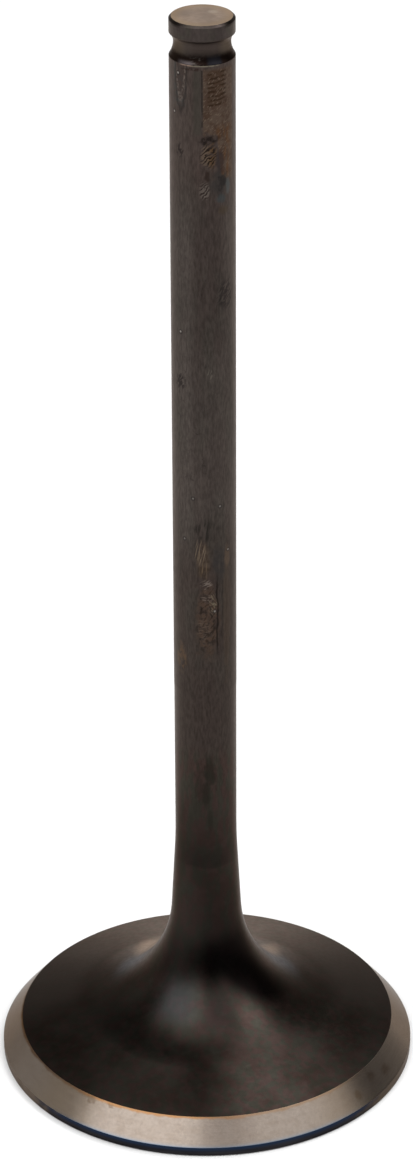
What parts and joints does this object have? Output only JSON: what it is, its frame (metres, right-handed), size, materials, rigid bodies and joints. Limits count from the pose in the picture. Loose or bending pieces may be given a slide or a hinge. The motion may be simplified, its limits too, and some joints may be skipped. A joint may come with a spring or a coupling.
{
  "type": "engine valve",
  "caption": "Poppet valve of a car engine: a ground stem with a keeper groove and tip, flaring through a filleted neck into a round head with a ground sealing face.",
  "frame": {"origin": "centre of the head's flat combustion face", "axes": "+Z runs along the stem from the head towards the tip; the valve is turned, so X and Y are alike"},
  "size_m": [0.0408, 0.0408, 0.1087],
  "materials": {
    "valve_steel": "dark nitrided steel with a fine grind on the stem and a bright ground sealing face"
  },
  "bodies": {
    "root": {"valve": "valve_steel"}
  },
  "joints": []
}
